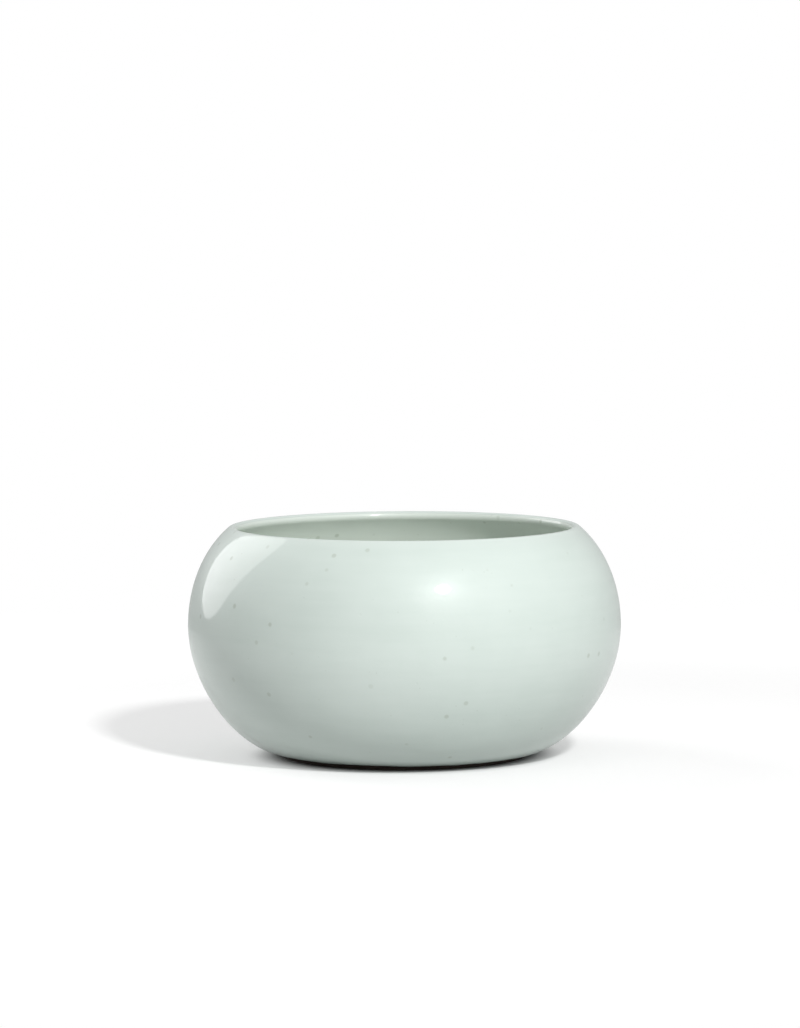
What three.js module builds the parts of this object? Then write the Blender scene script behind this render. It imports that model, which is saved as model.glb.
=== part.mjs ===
// A round-bellied porcelain water pot with an incurved mouth, under a celadon glaze.
// The clay body is two halves luted with slip at the belly, standing on a low luted foot ring.
// The glaze is three fused coats: outside, inside and under the base.
// Millimetres, +Z up. The origin is the centre of the circle that the pot stands on.
import * as THREE from 'three';
import { mergeVertices } from 'three/addons/utils/BufferGeometryUtils.js';

// Finished outside shape, over the glaze
const bellyRadius = 60;
const bellyHeight = 36.3;
const mouthRadius = 48.7;        // where the shoulder meets the rounded lip
const mouthHeight = 63.4;
const mouthLean = 50;            // degrees that the shoulder leans inwards at the lip
const shoulderRise = 10.7;       // how far the belly stays upright above its widest line
const shoulderRun = 9.2;         // how far the lean at the lip carries down the shoulder
const heelRadius = 35;           // where the glaze stops beside the foot
const heelHeight = 0.8;
const heelLean = 81;             // degrees that the heel leans inwards as it meets the foot
const flankDrop = 15.3;          // how far the belly stays upright below its widest line
const heelRun = 13.1;            // how far the lean at the heel carries up the flank

// Walls and coats
const glazeThickness = 0.5;
const lipRadius = 1.35;          // rounding of the finished lip
const bellyWall = 3.6;           // glaze, clay and glaze together at the belly
const floorHeight = 8.4;         // glazed floor inside, at the centre
const cavityDrop = 22;           // how far the cavity stays upright below the joint
const cavityFloorRun = 44;       // radius over which the floor inside stays nearly flat

// Joint between the two clay halves
const slipThickness = 0.6;
const jointSlope = 1.2;          // how far the scarfed joint drops from outside to inside

// Foot ring and recessed base
const footOverhang = 0.6;        // how far the heel stands out past the bare foot
const footWidth = 4;
const footTop = 3.6;             // where the ring is luted to the underside
const footChamfer = 0.4;
const footFlare = 0.8;           // taper of the ring's inner wall
const baseGlazeLine = 1.3;       // height where the glaze stops on the ring's inner wall

// Facets
const segments = 48;
const heelSteps = 3;
const flankSteps = 8;
const shoulderSteps = 8;
const lipSteps = 2;              // for each half of the lip
const splitTrials = 40;          // halvings used to find a height along a curve

const radians = THREE.MathUtils.degToRad;
const point = (r, z) => new THREE.Vector2(r, z);

const clay = new THREE.MeshStandardMaterial({ color: 0xe9e4da, roughness: 0.85, metalness: 0 });
const slip = new THREE.MeshStandardMaterial({ color: 0xded8cb, roughness: 0.95, metalness: 0 });
const bareFoot = new THREE.MeshStandardMaterial({ color: 0x6b4a36, roughness: 0.9, metalness: 0 });
const celadon = new THREE.MeshStandardMaterial({ color: 0xccdbd0, roughness: 0.16, metalness: 0 });

// Outside curves, from the heel up to the belly and from the belly up to the lip.
// The band between them is as tall as the slip joint that lies behind it.
const heelAngle = radians(heelLean);
const mouthAngle = radians(mouthLean);
const outerBandLow = bellyHeight - slipThickness / 2;
const outerBandHigh = bellyHeight + slipThickness / 2;

const flankCurve = new THREE.CubicBezierCurve(
  point(heelRadius, heelHeight),
  point(heelRadius + heelRun * Math.sin(heelAngle), heelHeight + heelRun * Math.cos(heelAngle)),
  point(bellyRadius, outerBandLow - flankDrop),
  point(bellyRadius, outerBandLow),
);
const shoulderCurve = new THREE.CubicBezierCurve(
  point(bellyRadius, outerBandHigh),
  point(bellyRadius, outerBandHigh + shoulderRise),
  point(mouthRadius + shoulderRun * Math.sin(mouthAngle), mouthHeight - shoulderRun * Math.cos(mouthAngle)),
  point(mouthRadius, mouthHeight),
);

// The cavity's curve below the joint, from the centre of its floor out to the belly.
const cavityRadius = bellyRadius - bellyWall;
const innerBandLow = outerBandLow - jointSlope;
const innerBandHigh = outerBandHigh - jointSlope;
const cavityCurve = new THREE.CubicBezierCurve(
  point(0, floorHeight),
  point(cavityFloorRun, floorHeight),
  point(cavityRadius, innerBandLow - cavityDrop),
  point(cavityRadius, innerBandLow),
);

// A point on an upward curve, moved towards the axis side by a depth along the curve's normal.
function sunk(curve, t, depth) {
  const along = curve.getTangent(t);
  return curve.getPoint(t).add(point(-along.y, along.x).multiplyScalar(depth));
}

// The share of a curve at which its sunk line reaches a height.
function shareAtHeight(curve, height, depth) {
  let low = 0;
  let high = 1;
  for (let i = 0; i < splitTrials; i++) {
    const middle = (low + high) / 2;
    if (sunk(curve, middle, depth).y < height) low = middle;
    else high = middle;
  }
  return low;
}

// Evenly spaced shares from one value to another, both included.
const shares = (from, to, steps) =>
  Array.from({ length: steps + 1 }, (_, i) => from + ((to - from) * i) / steps);

// Where the clay's outside meets the plane on which the foot ring is luted.
const footShare = shareAtHeight(flankCurve, footTop, glazeThickness);
const heelLine = (depth) => shares(0, footShare, heelSteps).map((t) => sunk(flankCurve, t, depth));
const flankLine = (depth) => shares(footShare, 1, flankSteps).map((t) => sunk(flankCurve, t, depth));
const shoulderLine = (depth) => shares(0, 1, shoulderSteps).map((t) => sunk(shoulderCurve, t, depth));

// The lip is a half round about one centre. Its middle is where the outside and inside coats meet.
const lipCentre = sunk(shoulderCurve, 1, lipRadius);
const lipArc = (depth, from, to) =>
  shares(from, to, lipSteps).map((quarter) => {
    const turn = mouthAngle + (quarter * Math.PI) / 2;
    const reach = lipRadius - depth;
    return point(lipCentre.x + reach * Math.cos(turn), lipCentre.y + reach * Math.sin(turn));
  });
const outerLip = (depth) => lipArc(depth, 0, 1);
const innerLip = (depth) => lipArc(depth, 1, 2);

// The cavity's curve above the joint, from the belly up to the inside of the lip.
const lipInside = sunk(shoulderCurve, 1, 2 * lipRadius);
const throatCurve = new THREE.CubicBezierCurve(
  point(cavityRadius, innerBandHigh),
  point(cavityRadius, innerBandHigh + shoulderRise),
  point(
    lipInside.x + shoulderRun * Math.sin(mouthAngle),
    lipInside.y - shoulderRun * Math.cos(mouthAngle),
  ),
  lipInside,
);
const throatLine = (depth) => shares(0, 1, shoulderSteps).map((t) => sunk(throatCurve, t, -depth));
const cavityLine = (depth) => {
  const line = shares(0, 1, flankSteps).map((t) => sunk(cavityCurve, t, -depth));
  line[0].setX(0);
  return line;
};

// Foot ring radii, measured in from the clay's edge at the heel.
const heelClay = sunk(flankCurve, 0, glazeThickness);
const footOuter = heelRadius - footOverhang;
const footInner = footOuter - footWidth;
const footInnerTop = footInner - footFlare;
// A point on the ring's inner wall, which leans inwards as it rises.
const footWallAt = (z) => point(footInner - (footFlare * (z - footChamfer)) / (footTop - footChamfer), z);

// Turns a closed outline about the Z axis. The outline runs anticlockwise, with radius to the right.
function turned(name, outline, material) {
  const closed = outline[0].x === 0 ? outline : [...outline, outline[0]];
  const geometry = new THREE.LatheGeometry(closed, segments).rotateX(Math.PI / 2);
  geometry.deleteAttribute('normal');
  geometry.deleteAttribute('uv');
  const merged = mergeVertices(geometry);
  merged.computeVertexNormals();
  const mesh = new THREE.Mesh(merged, material);
  mesh.name = name;
  return mesh;
}

function lowerBody() {
  return turned('lower_body', [
    point(0, footTop),
    ...flankLine(glazeThickness),
    ...cavityLine(glazeThickness).reverse(),
  ], clay);
}

function upperBody() {
  return turned('upper_body', [
    ...shoulderLine(glazeThickness),
    ...outerLip(glazeThickness).slice(1),
    ...innerLip(glazeThickness).slice(1),
    ...throatLine(glazeThickness).reverse().slice(1),
  ], clay);
}

// The slip fills the scarf between the halves, so its corners are theirs.
function lutingSeam() {
  return turned('luting_seam', [
    flankLine(glazeThickness).at(-1),
    shoulderLine(glazeThickness)[0],
    throatLine(glazeThickness)[0],
    cavityLine(glazeThickness).at(-1),
  ], slip);
}

function footRing() {
  return turned('foot_ring', [
    point(footInner + footChamfer, 0),
    point(footOuter - footChamfer, 0),
    point(footOuter, footChamfer),
    point(footOuter, heelClay.y),
    ...heelLine(glazeThickness),
    point(footInnerTop, footTop),
    footWallAt(baseGlazeLine),
    point(footInner, footChamfer),
  ], bareFoot);
}

function outerGlaze() {
  const face = (depth) => [
    ...heelLine(depth),
    ...flankLine(depth).slice(1),
    ...shoulderLine(depth),
    ...outerLip(depth).slice(1),
  ];
  return turned('outer_glaze', [...face(0), ...face(glazeThickness).reverse()], celadon);
}

function innerGlaze() {
  const face = (depth) => [
    ...cavityLine(depth),
    ...throatLine(depth),
    ...innerLip(depth).reverse().slice(1),
  ];
  return turned('inner_glaze', [...face(glazeThickness), ...face(0).reverse()], celadon);
}

function baseGlaze() {
  const edge = footWallAt(baseGlazeLine);
  return turned('base_glaze', [
    point(0, footTop - glazeThickness),
    point(footInnerTop - glazeThickness, footTop - glazeThickness),
    point(edge.x - glazeThickness, edge.y),
    edge,
    point(footInnerTop, footTop),
    point(0, footTop),
  ], celadon);
}

const waterPot = new THREE.Group();
waterPot.name = 'water_pot';
waterPot.add(
  lowerBody(),
  lutingSeam(),
  upperBody(),
  footRing(),
  outerGlaze(),
  innerGlaze(),
  baseGlaze(),
);

export default waterPot;
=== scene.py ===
"""A celadon water pot on a pale tabletop.

The pot is a body of revolution. Its outline is made of a few curves, and every piece is a closed
surface turned about the Z axis. The foot ring stands at height 0. Lengths are in metres.
"""
import math
import bpy
import numpy as np
from mathutils import Matrix, Vector


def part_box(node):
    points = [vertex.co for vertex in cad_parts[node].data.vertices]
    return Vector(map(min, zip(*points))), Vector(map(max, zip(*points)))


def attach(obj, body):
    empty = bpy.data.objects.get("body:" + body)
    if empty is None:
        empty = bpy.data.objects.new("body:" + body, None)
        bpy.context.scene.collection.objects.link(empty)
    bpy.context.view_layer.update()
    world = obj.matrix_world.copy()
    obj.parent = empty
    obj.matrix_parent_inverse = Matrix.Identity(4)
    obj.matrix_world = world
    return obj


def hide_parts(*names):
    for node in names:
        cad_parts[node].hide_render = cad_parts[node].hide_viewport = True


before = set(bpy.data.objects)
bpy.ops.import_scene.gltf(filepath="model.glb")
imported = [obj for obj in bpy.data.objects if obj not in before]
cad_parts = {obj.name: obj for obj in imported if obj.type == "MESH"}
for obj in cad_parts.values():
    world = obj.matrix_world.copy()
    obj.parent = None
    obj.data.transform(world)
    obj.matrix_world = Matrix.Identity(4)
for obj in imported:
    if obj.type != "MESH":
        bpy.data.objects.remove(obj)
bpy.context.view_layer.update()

bl_info = {
    "name": "Celadon Water Pot",
    "version": (1, 0, 0),
    "blender": (4, 5, 0),
    "location": "View3D > Sidebar > Water Pot",
    "description": "Builds a celadon-glazed water pot and the table that it stands on",
    "category": "Add Mesh",
}

MM = 0.001
BELLY_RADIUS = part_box("outer_glaze")[1][0]

# Faces round the pot, and along each stretch of the outline.
AROUND = 384
STEPS_FLANK = 56
STEPS_SHOULDER = 48
STEPS_LIP = 10
STEPS_HEEL = 12
STEPS_WELL = 56
STEPS_BASE = 23
STEPS_COVE = 8
STEPS_FOOT = 8
STEPS_EDGE = 6
SEARCH_STEPS = 4000
SAME_POINT = 0.00001 * MM

# Waves round the pot, as (count, phase, amplitude).
BELLY_WAVES = ((2, 0.6, 0.7), (3, 2.1, 0.5), (5, 0.4, 0.25))
MOUTH_WAVES = ((2, 2.4, 0.6), (4, 1.1, 0.3))
EDGE_WAVES = ((7, 0.3, 0.10), (11, 1.9, 0.08), (19, 0.8, 0.05), (31, 2.2, 0.04))

# Unevenness of the smoothed and wiped surfaces.
WAVE_HEIGHT = 60 * MM            # height over which the belly waves rise and fall
WAVE_RADIUS = 45 * MM            # radius from which the waves are full
RIDGE_HEIGHT = 0.05 * MM         # outward ridge over the joint
RIDGE_WIDTH = 0.9 * MM
RIDGE_RADIUS = 57 * MM           # the ridge shows outside this radius only
EDGE_ZONE = 5.5 * MM             # height up to which the glaze follows its wiped edge
EDGE_FADE = 4.7 * MM             # height over which that fades
EDGE_SLOPE = 1.6                 # how far the edge moves out for each unit that it moves up
EDGE_LEFT = math.radians(222)    # side on which the edge stands highest
EDGE_LEAST = 0.12                # share of the edge's rise on the low side
EDGE_LEAN = 0.85                 # share that the high side adds
EDGE_MOST = 1.2                  # share that the waves don't take it past
COVE_RADIUS = 1 * MM             # rounding of the base glaze into the ring's inner wall
EDGE_DROP = 0.12 * MM            # how far the base glaze's edge bulges down
BASE_RING = 15 * MM              # radius of the ring of points on the body's flat underside


def length(name, description, millimetres):
    """A size that a user can change, in metres, with its default given in millimetres."""
    return bpy.props.FloatProperty(
        name=name,
        description=description,
        default=millimetres * MM,
        subtype="DISTANCE",
        unit="LENGTH",
        precision=4,
    )


def angle(name, description, degrees):
    """An angle that a user can change, with its default given in degrees."""
    return bpy.props.FloatProperty(
        name=name, description=description, default=math.radians(degrees), subtype="ANGLE"
    )


def tint(name, description, default):
    """A colour that a user can change."""
    return bpy.props.FloatVectorProperty(
        name=name, description=description, default=default, subtype="COLOR", size=3, min=0, max=1
    )


class PotShape(bpy.types.PropertyGroup):
    """Sizes of the pot, over the glaze."""

    belly_height: length("Belly height", "Height of the widest line", 36.3)
    mouth_radius: length("Mouth radius", "Radius where the shoulder meets the lip", 48.7)
    mouth_height: length("Mouth height", "Height where the shoulder meets the lip", 63.4)
    mouth_lean: angle("Mouth lean", "Inward lean of the shoulder at the lip", 50)
    shoulder_rise: length("Shoulder rise", "How far the belly stays upright going up", 10.7)
    shoulder_run: length("Shoulder run", "How far the lean at the lip carries down", 9.2)
    heel_radius: length("Heel radius", "Radius where the glaze stops", 35)
    heel_height: length("Heel height", "Height where the glaze stops", 0.8)
    heel_lean: angle("Heel lean", "Inward lean of the heel at the foot", 81)
    flank_drop: length("Flank drop", "How far the belly stays upright going down", 15.3)
    heel_run: length("Heel run", "How far the lean at the heel carries up", 13.1)
    lip_radius: length("Lip radius", "Rounding of the glazed lip", 1.35)
    belly_wall: length("Belly wall", "Glaze, clay and glaze together at the belly", 3.6)
    floor_height: length("Floor height", "Glazed floor inside, at the centre", 8.4)
    cavity_drop: length("Cavity drop", "How far the cavity stays upright going down", 22)
    cavity_floor_run: length("Cavity floor run", "Radius over which the floor is nearly flat", 44)
    glaze_thickness: length("Glaze thickness", "Thickness of one coat", 0.5)
    slip_thickness: length("Slip thickness", "Slip between the two halves", 0.6)
    joint_slope: length("Joint slope", "Drop of the joint from outside to inside", 1.2)
    foot_overhang: length("Foot overhang", "How far the heel stands out past the foot", 0.6)
    foot_width: length("Foot width", "Width of the foot ring", 4)
    foot_top: length("Foot top", "Height of the underside inside the ring", 3.6)
    foot_chamfer: length("Foot edge", "Rounding of the foot ring's edges", 0.4)
    foot_flare: length("Foot flare", "Taper of the ring's inner wall", 0.8)
    base_glaze_line: length("Base glaze line", "Where the base glaze stops", 1.3)
    wobble: length("Wobble", "Unevenness left by hand finishing", 0.09)
    glaze_edge_rise: length("Glaze edge rise", "How far the wiped glaze edge wanders up", 0.55)


class PotLooks(bpy.types.PropertyGroup):
    """Colours of the glaze and of the fired clay."""

    glaze: tint("Glaze", "Celadon where the coat is of usual thickness", (0.600, 0.672, 0.632))
    # The inside glaze is a little warmer in hue, and paler than the outside: painted light standing in
    # for the light bounced inside the pot.
    glaze_inside_warm_and_painted_light: tint("Inside glaze", "Celadon on the inside, a little warmer", (0.650, 0.705, 0.650))
    glaze_thin: tint("Thin glaze", "Celadon over the lip and other raised edges", (0.655, 0.715, 0.680))
    glaze_pooled: tint("Pooled glaze", "Celadon where the coat gathers", (0.490, 0.575, 0.528))
    speck: tint("Iron speck", "Small iron spots in the glaze", (0.30, 0.35, 0.27))
    clay: tint("Clay", "Fired porcelain under the glaze", (0.78, 0.74, 0.67))
    # Nearly black: partly the kiln-burnt bare clay, partly painted shade of the dark gap under the
    # heel.
    foot: tint("Bare foot", "Unglazed foot, burnt dark in the kiln", (0.05, 0.035, 0.025))


# Outline curves, as points (radius, height) for shares from 0 to 1.


def bezier(controls, shares):
    """Cubic curve: (1-t)^3 a + 3 (1-t)^2 t b + 3 (1-t) t^2 c + t^3 d, with its unit direction."""
    a, b, c, d = (np.array(p, float) for p in controls)
    t = shares[:, None]
    points = (1 - t) ** 3 * a + 3 * (1 - t) ** 2 * t * b + 3 * (1 - t) * t**2 * c + t**3 * d
    slopes = (1 - t) ** 2 * (b - a) + 2 * (1 - t) * t * (c - b) + t**2 * (d - c)
    return points, slopes / np.linalg.norm(slopes, axis=1, keepdims=True)


def sunk(controls, shares, depth):
    """Curve points moved by a depth along the direction turned a quarter turn to the left."""
    points, along = bezier(controls, shares)
    return points + depth * np.stack([-along[:, 1], along[:, 0]], axis=1)


def spread(start, stop, steps):
    """Evenly spaced shares with both ends."""
    return np.linspace(start, stop, steps + 1)


def between_points(start, stop, steps):
    """Straight line: start plus share times (stop minus start)."""
    return np.array([start]) + spread(0, 1, steps)[:, None] * (np.array([stop]) - np.array([start]))


class Outline:
    """The pot's outline curves and lines at any depth below the face of the glaze."""

    def __init__(self, shape):
        s = self.shape = shape
        lean_out, lean_up = math.sin(s.mouth_lean), math.cos(s.mouth_lean)
        heel_out, heel_up = math.sin(s.heel_lean), math.cos(s.heel_lean)
        end = np.array([1.0])
        low = s.belly_height - s.slip_thickness / 2
        high = s.belly_height + s.slip_thickness / 2
        self.flank = (
            (s.heel_radius, s.heel_height),
            (s.heel_radius + s.heel_run * heel_out, s.heel_height + s.heel_run * heel_up),
            (BELLY_RADIUS, low - s.flank_drop),
            (BELLY_RADIUS, low),
        )
        self.shoulder = (
            (BELLY_RADIUS, high),
            (BELLY_RADIUS, high + s.shoulder_rise),
            (s.mouth_radius + s.shoulder_run * lean_out, s.mouth_height - s.shoulder_run * lean_up),
            (s.mouth_radius, s.mouth_height),
        )
        self.lip_centre = sunk(self.shoulder, end, s.lip_radius)[0]
        inside = sunk(self.shoulder, end, 2 * s.lip_radius)[0]
        inner = BELLY_RADIUS - s.belly_wall
        self.throat = (
            (inner, high - s.joint_slope),
            (inner, high - s.joint_slope + s.shoulder_rise),
            (inside[0] + s.shoulder_run * lean_out, inside[1] - s.shoulder_run * lean_up),
            tuple(inside),
        )
        self.cavity = (
            (0, s.floor_height),
            (s.cavity_floor_run, s.floor_height),
            (inner, low - s.joint_slope - s.cavity_drop),
            (inner, low - s.joint_slope),
        )
        shares = spread(0, 1, SEARCH_STEPS)
        clay = sunk(self.flank, shares, s.glaze_thickness)
        self.foot_share = float(np.interp(s.foot_top, clay[:, 1], shares))

    def heel_line(self, depth):
        """From the wiped edge up to the height of the underside."""
        return sunk(self.flank, spread(0, self.foot_share, STEPS_HEEL), depth)

    def flank_line(self, depth):
        """From the height of the underside up to the belly."""
        return sunk(self.flank, spread(self.foot_share, 1, STEPS_FLANK), depth)

    def shoulder_line(self, depth):
        """From the belly up to the lip."""
        return sunk(self.shoulder, spread(0, 1, STEPS_SHOULDER), depth)

    def throat_line(self, depth):
        """The inside above the joint, up to the lip."""
        return sunk(self.throat, spread(0, 1, STEPS_SHOULDER), -depth)

    def cavity_line(self, depth):
        """The inside below the joint, from the axis outwards."""
        line = sunk(self.cavity, spread(0, 1, STEPS_WELL), -depth)
        line[0, 0] = 0
        return line

    def lip_arc(self, depth, start, stop):
        """Part of the half-round lip: centre plus radius times (cos, sin) of the turning angle."""
        turn = self.shape.mouth_lean + spread(start, stop, STEPS_LIP) * math.pi / 2
        reach = self.shape.lip_radius - depth
        return self.lip_centre + reach * np.stack([np.cos(turn), np.sin(turn)], axis=1)

    def outer_face(self, depth):
        """The outside, from the wiped edge up to the crest of the lip."""
        heel, flank = self.heel_line(depth), self.flank_line(depth)
        return joined(heel, flank, self.shoulder_line(depth), self.lip_arc(depth, 0, 1))

    def inner_face(self, depth):
        """The inside, from the axis out and up to the crest of the lip."""
        lip = self.lip_arc(depth, 1, 2)[::-1]
        return joined(self.cavity_line(depth), self.throat_line(depth), lip)


def joined(*lines):
    """One outline from several lines, without the points that repeat where two meet."""
    points = np.concatenate(lines)
    step = np.linalg.norm(np.diff(points, axis=0), axis=1)
    return points[np.concatenate([[True], step > SAME_POINT])]


def ring_outline(*lines):
    """One closed outline, without its last point where that repeats the first."""
    points = joined(*lines)
    return points[:-1] if np.linalg.norm(points[0] - points[-1]) < SAME_POINT else points


# Surfaces of revolution.


def waves(theta, terms):
    """Sum of amplitude times cos(count times angle plus phase)."""
    return sum(size * np.cos(count * theta + phase) for count, phase, size in terms)


def hand_finish(r, z, theta, size):
    """Slow waves round the pot, as moves outwards by ring and angle.

    With h the share of the height and q the share of the radius, a move is size times q times
    (the belly waves times sin(pi h), plus the mouth waves times h).
    """
    height = np.clip(z / WAVE_HEIGHT, 0, 1)
    belly, mouth = waves(theta, BELLY_WAVES), waves(theta, MOUTH_WAVES)
    rise = belly * np.sin(math.pi * height) + mouth * height
    return size * rise * np.clip(r / WAVE_RADIUS, 0, 1)


def glaze_edge(theta, rise):
    """How far the wiped edge stands up, by angle: highest on one side, with small ragged waves.

    With s half of (1 + cos(angle from the high side)), it is rise times (the least share, plus
    the high side's share times s, plus the waves), held between 0 and the most.
    """
    left = 0.5 + 0.5 * np.cos(theta - EDGE_LEFT)
    share = EDGE_LEAST + EDGE_LEAN * left + waves(theta, EDGE_WAVES)
    return rise * np.clip(share, 0, EDGE_MOST)


def turned(name, outline, size=0.0, lift=None):
    """Closed surface: each outline point (r, z) at angle a becomes (r cos a, r sin a, z).

    The outline runs anticlockwise with radius to the right, so the faces point outwards. It
    either closes on itself or starts and ends on the axis, where the ends become single poles.
    size is the wobble, and lift gives further moves outwards and upwards by ring and angle.
    """
    theta = np.arange(AROUND) * 2 * math.pi / AROUND
    poles = outline[0, 0] < SAME_POINT
    rings = outline[1:-1] if poles else outline
    r, z = (np.repeat(rings[:, k : k + 1], AROUND, axis=1) for k in (0, 1))
    r = r + hand_finish(r, z, theta, size)
    if lift is not None:
        out, up = lift(rings, theta)
        r, z = r + out, z + up
    points = np.stack([r * np.cos(theta), r * np.sin(theta), z], axis=2).reshape(-1, 3)
    count = len(rings)
    whole = count * AROUND
    step = np.arange(AROUND)
    after = (step + 1) % AROUND
    start = np.arange(count - 1 if poles else count)[:, None] * AROUND
    here, beside = start + step, start + after
    quads = [here, beside, (beside + AROUND) % whole, (here + AROUND) % whole]
    faces = np.stack(quads, axis=2).reshape(-1, 4).tolist()
    if poles:
        points = np.concatenate([points, [[0, 0, outline[0, 1]], [0, 0, outline[-1, 1]]]])
        top = whole - AROUND
        faces += np.stack([after, step, np.full(AROUND, whole)], axis=1).tolist()
        faces += np.stack([top + step, top + after, np.full(AROUND, whole + 1)], axis=1).tolist()
    mesh = bpy.data.meshes.new(name)
    mesh.from_pydata(points.tolist(), [], faces)
    mesh.polygons.foreach_set("use_smooth", [True] * len(mesh.polygons))
    mesh.update()
    piece = bpy.data.objects.new(name, mesh)
    bpy.context.collection.objects.link(piece)
    return piece


def settle(piece, node, material):
    """Puts a piece in place of a node, with its finish."""
    piece.data.materials.append(material)
    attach(piece, "root")
    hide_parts(node)


# Shader maths.


class Value:
    """A socket that adds Math nodes when it is used in arithmetic."""

    def __init__(self, looks, socket):
        self.looks = looks
        self.socket = socket

    def maths(self, operation, *others):
        """One Math node on this value and others."""
        node = self.looks.node("ShaderNodeMath", {"operation": operation}, (self, *others))
        return Value(self.looks, node.outputs[0])

    def __add__(self, other):
        return self.maths("ADD", other)

    def __radd__(self, other):
        return self.maths("ADD", other)

    def __mul__(self, other):
        return self.maths("MULTIPLY", other)

    def __rmul__(self, other):
        return self.maths("MULTIPLY", other)

    def __sub__(self, other):
        return self.maths("SUBTRACT", other)

    def __rsub__(self, other):
        return self.maths("MULTIPLY", -1).maths("ADD", other)

    def __lt__(self, other):
        return self.maths("LESS_THAN", other)

    def between(self, low, high):
        """0 below low, 1 above high and a smooth rise from one to the other."""
        settings = {"interpolation_type": "SMOOTHSTEP"}
        node = self.looks.node("ShaderNodeMapRange", settings, (self, low, high, 0, 1))
        return Value(self.looks, node.outputs[0])


class Looks:
    """One material or world, with short ways to add its nodes."""

    def __init__(self, owner):
        owner.use_nodes = True
        self.owner = owner
        self.tree = owner.node_tree
        self.tree.nodes.clear()

    def node(self, kind, settings=None, inputs=()):
        """Adds a node, makes its settings, then fills its inputs by order or by name."""
        node = self.tree.nodes.new(kind)
        for key, value in (settings or {}).items():
            setattr(node, key, value)
        pairs = inputs.items() if isinstance(inputs, dict) else enumerate(inputs)
        for key, value in pairs:
            source = getattr(value, "socket", value)
            if isinstance(source, bpy.types.NodeSocket):
                self.tree.links.new(source, node.inputs[key])
            else:
                node.inputs[key].default_value = source
        return node

    def place(self):
        """Object coordinates, in metres."""
        return self.node("ShaderNodeTexCoord").outputs["Object"]

    def stretched(self, place, scale):
        """Coordinates scaled along each axis."""
        inputs = {"Vector": place, "Scale": scale}
        return self.node("ShaderNodeMapping", {}, inputs).outputs["Vector"]

    def parts(self, vector):
        """The three parts of a vector."""
        node = self.node("ShaderNodeSeparateXYZ", {}, (vector,))
        return [Value(self, out) for out in node.outputs]

    def noise(self, place, scale, detail=2.0, rough=0.5):
        """Cloudy noise from 0 to 1, with scale in features per metre."""
        inputs = {"Vector": place, "Scale": scale, "Detail": detail, "Roughness": rough}
        return Value(self, self.node("ShaderNodeTexNoise", {}, inputs).outputs["Fac"])

    def spots(self, place, scale, size, share):
        """Small round spots: near to a cell's point, in the share of cells that have one."""
        inputs = {"Vector": place, "Scale": scale, "Randomness": 1.0}
        cell = self.node("ShaderNodeTexVoronoi", {"feature": "F1"}, inputs)
        chance = self.parts(cell.outputs["Color"])
        near = 1 - Value(self, cell.outputs["Distance"]).between(size * SPOT_CORE, size)
        return near * (chance[0] < share) * (SPOT_FAINTEST + chance[1] * (1 - SPOT_FAINTEST))

    def mix(self, share, first, second):
        """A colour between two, by share."""
        first, second = ((*c, 1) if isinstance(c, (tuple, list)) else c for c in (first, second))
        inputs = {0: share, 6: first, 7: second}
        node = self.node("ShaderNodeMix", {"data_type": "RGBA", "clamp_factor": True}, inputs)
        return node.outputs[2]

    def bump(self, height, distance, strength=1.0, normal=None):
        """A normal raised by a height from 0 to 1, with the distance in metres."""
        inputs = {"Strength": strength, "Distance": distance, "Height": height}
        if normal is not None:
            inputs["Normal"] = normal
        return self.node("ShaderNodeBump", {}, inputs).outputs["Normal"]

    def surface(self, inputs):
        """The Principled surface of a material."""
        shader = self.node("ShaderNodeBsdfPrincipled", {}, inputs)
        self.node("ShaderNodeOutputMaterial", {}, {"Surface": shader.outputs[0]})
        return self.owner


# Glaze and clay. Heights are in metres, and scales in features per metre.

LIP_BAND = (0.0612, 0.0640)
LIP_PALENESS = 0.4
LOW_BAND = (0.002, 0.030)

# Noises, as scale, detail and, where it isn't the usual one, roughness.
CLOUDS = (28, 3)
DRIFT = (95, 2)
STREAKS = (42, 3, 0.6)
STREAK_FLATTENING = (1, 1, 9)
PATCHES = (160, 3)
SKIN = (420, 2)
SWELL = (60, 1)
GRAIN = (2400, 4, 0.7)
STAINS = (130, 3)

# What each adds to the depth of the coat's colour, and the span from thin to pooled.
LOW_DEPTH = 0.35
CLOUD_DEPTH = 0.6
DRIFT_DEPTH = 0.3
STREAK_DEPTH = 0.45
# Painted light: this makes the inside glaze paler, in place of the light bounced inside the pot.
INSIDE_PAINTED_LIGHT = -0.3
BASE_DEPTH = 0.1
DEPTH_SPAN = (-0.35, 1.0)

# Spots, as scale, size as a share of a cell, and the share of cells that have one.
SPECKS = (190, 0.17, 0.45)
DUST = (520, 0.14, 0.12)
PITS = (330, 0.16, 0.12)
SPOT_CORE = 0.45
SPOT_FAINTEST = 0.35
SPECK_STRENGTH = 0.42
DUST_STRENGTH = 0.3

# The glaze's face.
SKIN_HEIGHT = 0.8
PIT_DEPTH = 0.9
SKIN_RELIEF = 0.035 * MM
SWELL_RELIEF = 0.45 * MM
SWELL_STRENGTH = 0.5
GLAZE_ROUGHNESS = 0.42
PATCH_ROUGHNESS = 0.06
PIT_ROUGHNESS = 0.15

# The clay's face.
GRAIN_RELIEF = 0.08 * MM
GRAIN_STRENGTH = 0.8
GRAIN_ROUGHNESS = 0.2
STAIN_CLOUDS = 0.7
STAIN_GRAIN = 0.5
STAIN_SPAN = (0.35, 0.9)
STAIN_DARKNESS = 0.62
SLIP_DARKNESS = 0.9
CLAY_ROUGHNESS = 0.85
SLIP_ROUGHNESS = 0.95
FOOT_ROUGHNESS = 0.8


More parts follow.
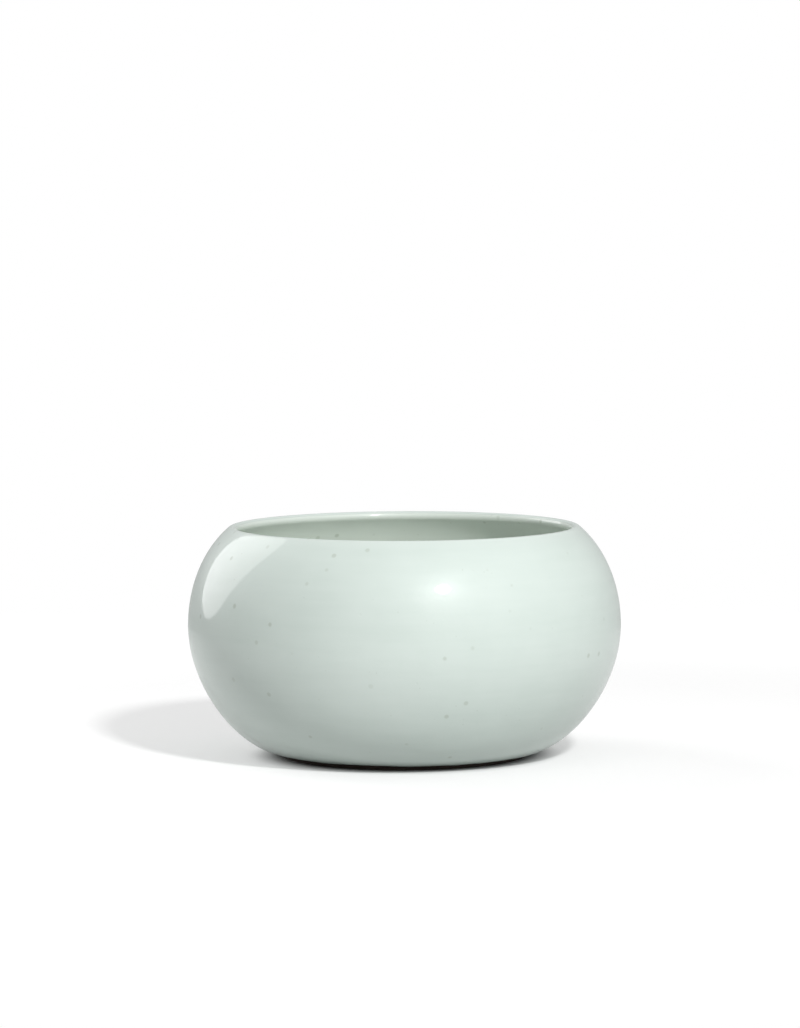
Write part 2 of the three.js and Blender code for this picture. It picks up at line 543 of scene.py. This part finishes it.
def celadon(name, looks, tone, depth=0.0):
    """Pale green glaze of soft gloss: paler lip, deeper low down, clouded, specked and pitted."""
    m = Looks(bpy.data.materials.new(name))
    place = m.place()
    height = m.parts(place)[2]
    lip = height.between(*LIP_BAND)
    low = 1 - height.between(*LOW_BAND)
    clouds = m.noise(place, *CLOUDS) - 0.5
    drift = m.noise(place, *DRIFT) - 0.5
    streaks = m.noise(m.stretched(place, STREAK_FLATTENING), *STREAKS) - 0.5
    thick = low * LOW_DEPTH + clouds * CLOUD_DEPTH + drift * DRIFT_DEPTH
    thick = thick + streaks * STREAK_DEPTH + depth
    base = m.mix(thick.between(*DEPTH_SPAN), tuple(tone), tuple(looks.glaze_pooled))
    base = m.mix(lip * LIP_PALENESS, base, tuple(looks.glaze_thin))
    specks = m.spots(place, *SPECKS) * SPECK_STRENGTH
    dust = m.spots(place, *DUST) * DUST_STRENGTH
    base = m.mix(specks + dust, base, tuple(looks.speck))
    pits = m.spots(place, *PITS)
    swell = m.bump(m.noise(place, *SWELL), SWELL_RELIEF, SWELL_STRENGTH)
    skin = m.noise(place, *SKIN) * SKIN_HEIGHT - pits * PIT_DEPTH
    normal = m.bump(skin, SKIN_RELIEF, normal=swell)
    patches = m.noise(place, *PATCHES) - 0.5
    rough = GLAZE_ROUGHNESS + patches * PATCH_ROUGHNESS + pits * PIT_ROUGHNESS
    return m.surface({
        "Base Color": base,
        "Roughness": rough,
        "Normal": normal,
        "IOR": 1.5,
        "Specular IOR Level": 0.32,
        "Coat Weight": 0.4,
        "Coat Roughness": 0.05,
    })


def bare_clay(name, tone, roughness):
    """Fired clay: fine grain, soft clouds of colour and a matt, slightly rough face."""
    m = Looks(bpy.data.materials.new(name))
    place = m.place()
    grain = m.noise(place, *GRAIN)
    stains = m.noise(place, *STAINS) * STAIN_CLOUDS + grain * STAIN_GRAIN
    dark = tuple(part * STAIN_DARKNESS for part in tone)
    return m.surface({
        "Base Color": m.mix(stains.between(*STAIN_SPAN), tuple(tone), dark),
        "Roughness": roughness + (grain - 0.5) * GRAIN_ROUGHNESS,
        "Normal": m.bump(grain, GRAIN_RELIEF, GRAIN_STRENGTH),
    })


# The pot's pieces.


def pot_settings(context):
    """The shape's sizes, the outline made from them, and the colours."""
    shape = context.scene.water_pot_shape
    return shape, Outline(shape), context.scene.water_pot_looks


class AddOuterGlaze(bpy.types.Operator):
    """Adds the coat of glaze over the outside, from the heel to the top of the lip."""

    bl_idname = "water_pot.outer_glaze"
    bl_label = "Outer Glaze"

    def execute(self, context):
        shape, line, looks = pot_settings(context)

        def finish(rings, theta):
            """Moves outwards and upwards: a ridge over the joint, and the wiped edge's rise.

            The ridge is a bell curve of the height, exp(-((z - joint) / width)^2). The edge's
            rise fades upwards with the square of what is left of its zone.
            """
            r, z = rings[:, :1], rings[:, 1:]
            ridge = RIDGE_HEIGHT * np.exp(-(((z - shape.belly_height) / RIDGE_WIDTH) ** 2))
            near = np.clip((EDGE_ZONE - z) / EDGE_FADE, 0, 1) ** 2
            rise = near * glaze_edge(theta, shape.glaze_edge_rise)
            return ridge * (r > RIDGE_RADIUS) + EDGE_SLOPE * rise, rise

        back = line.outer_face(shape.glaze_thickness)[::-1]
        outline = ring_outline(line.outer_face(0), back)
        piece = turned("outer_glaze_coat", outline, shape.wobble, finish)
        material = celadon("celadon_outside", looks, looks.glaze)
        settle(piece, "outer_glaze", material)
        return {"FINISHED"}


class AddInnerGlaze(bpy.types.Operator):
    """Adds the coat of glaze over the inside, from the floor to the top of the lip."""

    bl_idname = "water_pot.inner_glaze"
    bl_label = "Inner Glaze"

    def execute(self, context):
        shape, line, looks = pot_settings(context)
        outline = joined(line.inner_face(shape.glaze_thickness), line.inner_face(0)[::-1])
        piece = turned("inner_glaze_coat", outline, shape.wobble)
        # The inside glaze is made paler: painted light for the bounce light inside the pot.
        material = celadon("celadon_inside", looks, looks.glaze_inside_warm_and_painted_light, INSIDE_PAINTED_LIGHT)
        settle(piece, "inner_glaze", material)
        return {"FINISHED"}


class AddBaseGlaze(bpy.types.Operator):
    """Adds the coat of glaze under the recessed base, down to the ring's inner wall."""

    bl_idname = "water_pot.base_glaze"
    bl_label = "Base Glaze"

    def execute(self, context):
        s, line, looks = pot_settings(context)
        coat = s.glaze_thickness
        inner = s.heel_radius - s.foot_overhang - s.foot_width
        slope = s.foot_flare / (s.foot_top - s.foot_chamfer)
        edge = inner - slope * (s.base_glaze_line - s.foot_chamfer)
        corner = inner - s.foot_flare
        cove_start = corner - coat - COVE_RADIUS
        under = between_points((0, s.foot_top - coat), (cove_start, s.foot_top - coat), STEPS_BASE)
        turn = spread(0, 1, STEPS_COVE) * math.pi / 2
        cove_centre = np.array([cove_start, s.foot_top - coat - COVE_RADIUS])
        cove = cove_centre + COVE_RADIUS * np.stack([np.sin(turn), np.cos(turn)], axis=1)
        wall = np.array([
            [edge - coat, s.base_glaze_line],
            [edge - coat / 2, s.base_glaze_line - EDGE_DROP],
            [edge, s.base_glaze_line],
            [corner, s.foot_top],
        ])
        top = between_points((corner, s.foot_top), (0, s.foot_top), STEPS_BASE)
        piece = turned("base_glaze_coat", joined(under, cove, wall, top))
        material = celadon("celadon_base", looks, looks.glaze, BASE_DEPTH)
        settle(piece, "base_glaze", material)
        return {"FINISHED"}


class AddFootRing(bpy.types.Operator):
    """Adds the bare foot ring that the pot stands on."""

    bl_idname = "water_pot.foot_ring"
    bl_label = "Foot Ring"

    def execute(self, context):
        s, line, looks = pot_settings(context)
        outer = s.heel_radius - s.foot_overhang
        inner = outer - s.foot_width
        ease = s.foot_chamfer
        turn = spread(0, 1, STEPS_EDGE) * math.pi / 2
        sine, cosine = np.sin(turn), np.cos(turn)
        outer_edge = np.stack([outer - ease + ease * sine, ease - ease * cosine], axis=1)
        inner_edge = np.stack([inner + ease - ease * cosine, ease - ease * sine], axis=1)
        flat = between_points((inner + ease, 0), (outer - ease, 0), STEPS_FOOT)
        heel = line.heel_line(s.glaze_thickness)
        stem = np.array([[outer, ease], [outer, heel[0, 1]]])
        wall = np.array([[inner - s.foot_flare, s.foot_top], [inner, ease]])
        outline = ring_outline(flat, outer_edge, stem, heel, wall, inner_edge)
        piece = turned("foot_ring_bare", outline)
        # The foot's near-black colour is partly burnt clay and partly painted shade of the gap under
        # the heel.
        material = bare_clay("burnt_foot_painted_shade", looks.foot, FOOT_ROUGHNESS)
        settle(piece, "foot_ring", material)
        return {"FINISHED"}


class AddClayBody(bpy.types.Operator):
    """Adds the two moulded halves of the clay body and the slip that joins them."""

    bl_idname = "water_pot.clay_body"
    bl_label = "Clay Body"

    def execute(self, context):
        s, line, looks = pot_settings(context)
        coat = s.glaze_thickness
        clay = bare_clay("porcelain", looks.clay, CLAY_ROUGHNESS)
        slip_tone = tuple(part * SLIP_DARKNESS for part in looks.clay)
        slip = bare_clay("slip", slip_tone, SLIP_ROUGHNESS)
        flank, shoulder = line.flank_line(coat), line.shoulder_line(coat)
        throat, cavity = line.throat_line(coat), line.cavity_line(coat)
        base = np.array([[0, s.foot_top], [BASE_RING, s.foot_top]])
        lower = joined(base, flank, cavity[::-1])
        lip = line.lip_arc(coat, 0, 1), line.lip_arc(coat, 1, 2)
        upper = ring_outline(shoulder, *lip, throat[::-1])
        seam = np.array([flank[-1], shoulder[0], throat[0], cavity[-1]])
        settle(turned("lower_half", lower), "lower_body", clay)
        settle(turned("upper_half", upper), "upper_body", clay)
        settle(turned("slip_line", seam), "luting_seam", slip)
        return {"FINISHED"}


# The stage.

CAMERA_PLACE = (-0.0011, -1.3332, 0.1791)
CAMERA_PITCH = math.radians(85.19)
CAMERA_ROLL = math.radians(-0.25)
CAMERA_LENS = 169.04
CAMERA_SENSOR = 36

LAMP_TARGET = (0, 0, 0.035)
KEY_PLACE = (0.37, -0.87, 0.74)
KEY_SIZE = (0.12, 0.12)
KEY_POWER = 11.2
SOFTBOX_PLACE = (-0.86, 0.66, 0.52)
SOFTBOX_SIZE = (0.8, 1.1)
SOFTBOX_POWER = 7.0

WORLD_SKY = 0.50
WORLD_GROUND = 0.56
HORIZON_BAND = (-0.12, 0.06)
LEFT_BAND = (-0.2, 1.0)
LEFT_DIMMING = 0.5
WHITE = (1, 1, 1, 1)

TABLE_HALF = 1.6
TABLE_TONES = ((0.58, 0.58, 0.58), (0.61, 0.61, 0.61))
TABLE_CLOUDS = (9, 2)
TABLE_GLOW = (0.38, 0.60)        # near the pot and far from it
TABLE_FADE = (0.17, 0.42)        # where the table turns into the white backdrop
CONTACT_PAINTED_SHADE = (0.034, 0.045)    # painted contact shadow: no glow under and just around the heel, so the floor there stays dark


def add_lamp(name, shape, size, power, place):
    """An area lamp pointed at the middle of the pot."""
    light = bpy.data.lights.new(name, "AREA")
    light.shape = shape
    light.size, light.size_y = size
    light.energy = power
    lamp = bpy.data.objects.new(name, light)
    lamp.location = place
    towards = Vector(LAMP_TARGET) - Vector(place)
    lamp.rotation_euler = towards.to_track_quat("-Z", "Y").to_euler()
    bpy.context.collection.objects.link(lamp)


def add_camera(scene):
    """The camera, a little above the mouth and turned slightly about its own axis."""
    data = bpy.data.cameras.new("camera")
    data.lens = CAMERA_LENS
    data.sensor_width = CAMERA_SENSOR
    camera = bpy.data.objects.new("camera", data)
    bpy.context.collection.objects.link(camera)
    turn = Matrix.Rotation(CAMERA_PITCH, 4, "X") @ Matrix.Rotation(CAMERA_ROLL, 4, "Z")
    camera.matrix_world = Matrix.Translation(CAMERA_PLACE) @ turn
    scene.camera = camera


def table_finish():
    """Pale matt tabletop that fades into the white backdrop away from the pot, with a painted contact
    shadow round the heel.
    """
    m = Looks(bpy.data.materials.new("pale_table"))
    place = m.place()
    x, y, _ = m.parts(place)
    reach = (x * x + y * y).maths("SQRT")
    away = reach.between(*TABLE_FADE)
    rays = m.node("ShaderNodeLightPath").outputs
    kinds = ("Is Camera Ray", "Is Glossy Ray", "Is Transmission Ray")
    camera, glossy, clear = (Value(m, rays[kind]) for kind in kinds)
    shown = camera.maths("MAXIMUM", glossy).maths("MAXIMUM", clear)
    near, far = ((level,) * 3 for level in TABLE_GLOW)
    glow = m.mix(away, near, far)
    return m.surface({
        "Base Color": m.mix(m.noise(place, *TABLE_CLOUDS), *TABLE_TONES),
        "Roughness": 0.8,
        "Alpha": 1 - away,
        # The glow is held off near the heel: a painted contact shadow on the floor.
        "Emission Color": m.mix(shown * reach.between(*CONTACT_PAINTED_SHADE), (0, 0, 0), glow),
        "Emission Strength": 1.0,
    })


def add_table():
    """A square table at height 0."""
    corners = [(-1, -1), (1, -1), (1, 1), (-1, 1)]
    mesh = bpy.data.meshes.new("table")
    mesh.from_pydata([(x * TABLE_HALF, y * TABLE_HALF, 0) for x, y in corners], [], [(0, 1, 2, 3)])
    mesh.materials.append(table_finish())
    table = bpy.data.objects.new("table", mesh)
    bpy.context.collection.objects.link(table)


def surround(scene):
    """White to the camera; to the pot, a soft sky that dims to the left, over a paler ground."""
    world = bpy.data.worlds.new("soft_room")
    scene.world = world
    m = Looks(world)
    x, _, z = m.parts(m.node("ShaderNodeTexCoord").outputs["Generated"])
    ground = 1 - z.between(*HORIZON_BAND)
    side = 1 - (0 - x).between(*LEFT_BAND) * LEFT_DIMMING
    level = WORLD_SKY * side + ground * (WORLD_GROUND - WORLD_SKY)
    room = m.node("ShaderNodeBackground", {}, {"Color": WHITE, "Strength": level})
    white = m.node("ShaderNodeBackground", {}, {"Color": WHITE, "Strength": 1.0})
    seen = m.node("ShaderNodeLightPath").outputs["Is Camera Ray"]
    both = m.node("ShaderNodeMixShader", {}, (seen, room.outputs[0], white.outputs[0]))
    m.node("ShaderNodeOutputWorld", {}, {"Surface": both.outputs[0]})


class AddStage(bpy.types.Operator):
    """Adds the table, the lamps, the surround and the camera."""

    bl_idname = "water_pot.stage"
    bl_label = "Stage"

    def execute(self, context):
        context.scene.view_settings.view_transform = "Standard"
        add_table()
        surround(context.scene)
        add_lamp("key_lamp", "DISK", KEY_SIZE, KEY_POWER, KEY_PLACE)
        add_lamp("left_softbox", "ELLIPSE", SOFTBOX_SIZE, SOFTBOX_POWER, SOFTBOX_PLACE)
        add_camera(context.scene)
        return {"FINISHED"}


class WaterPotPanel(bpy.types.Panel):
    """The water pot's pieces, sizes and colours."""

    bl_idname = "VIEW3D_PT_water_pot"
    bl_label = "Water Pot"
    bl_space_type = "VIEW_3D"
    bl_region_type = "UI"
    bl_category = "Water Pot"

    def draw(self, context):
        for operator in OPERATORS:
            self.layout.operator(operator.bl_idname)
        for group in (context.scene.water_pot_shape, context.scene.water_pot_looks):
            box = self.layout.box()
            for name in group.__annotations__:
                box.prop(group, name)


OPERATORS = (AddStage, AddOuterGlaze, AddInnerGlaze, AddBaseGlaze, AddFootRing, AddClayBody)
CLASSES = (PotShape, PotLooks, *OPERATORS, WaterPotPanel)


def register():
    for cls in CLASSES:
        bpy.utils.register_class(cls)
    bpy.types.Scene.water_pot_shape = bpy.props.PointerProperty(type=PotShape)
    bpy.types.Scene.water_pot_looks = bpy.props.PointerProperty(type=PotLooks)


def unregister():
    del bpy.types.Scene.water_pot_shape
    del bpy.types.Scene.water_pot_looks
    for cls in reversed(CLASSES):
        bpy.utils.unregister_class(cls)


def main():
    """Builds the stage and every piece."""
    register()
    bpy.ops.water_pot.stage()
    bpy.ops.water_pot.outer_glaze()
    bpy.ops.water_pot.inner_glaze()
    bpy.ops.water_pot.base_glaze()
    bpy.ops.water_pot.foot_ring()
    bpy.ops.water_pot.clay_body()


if __name__ == "__main__":
    main()
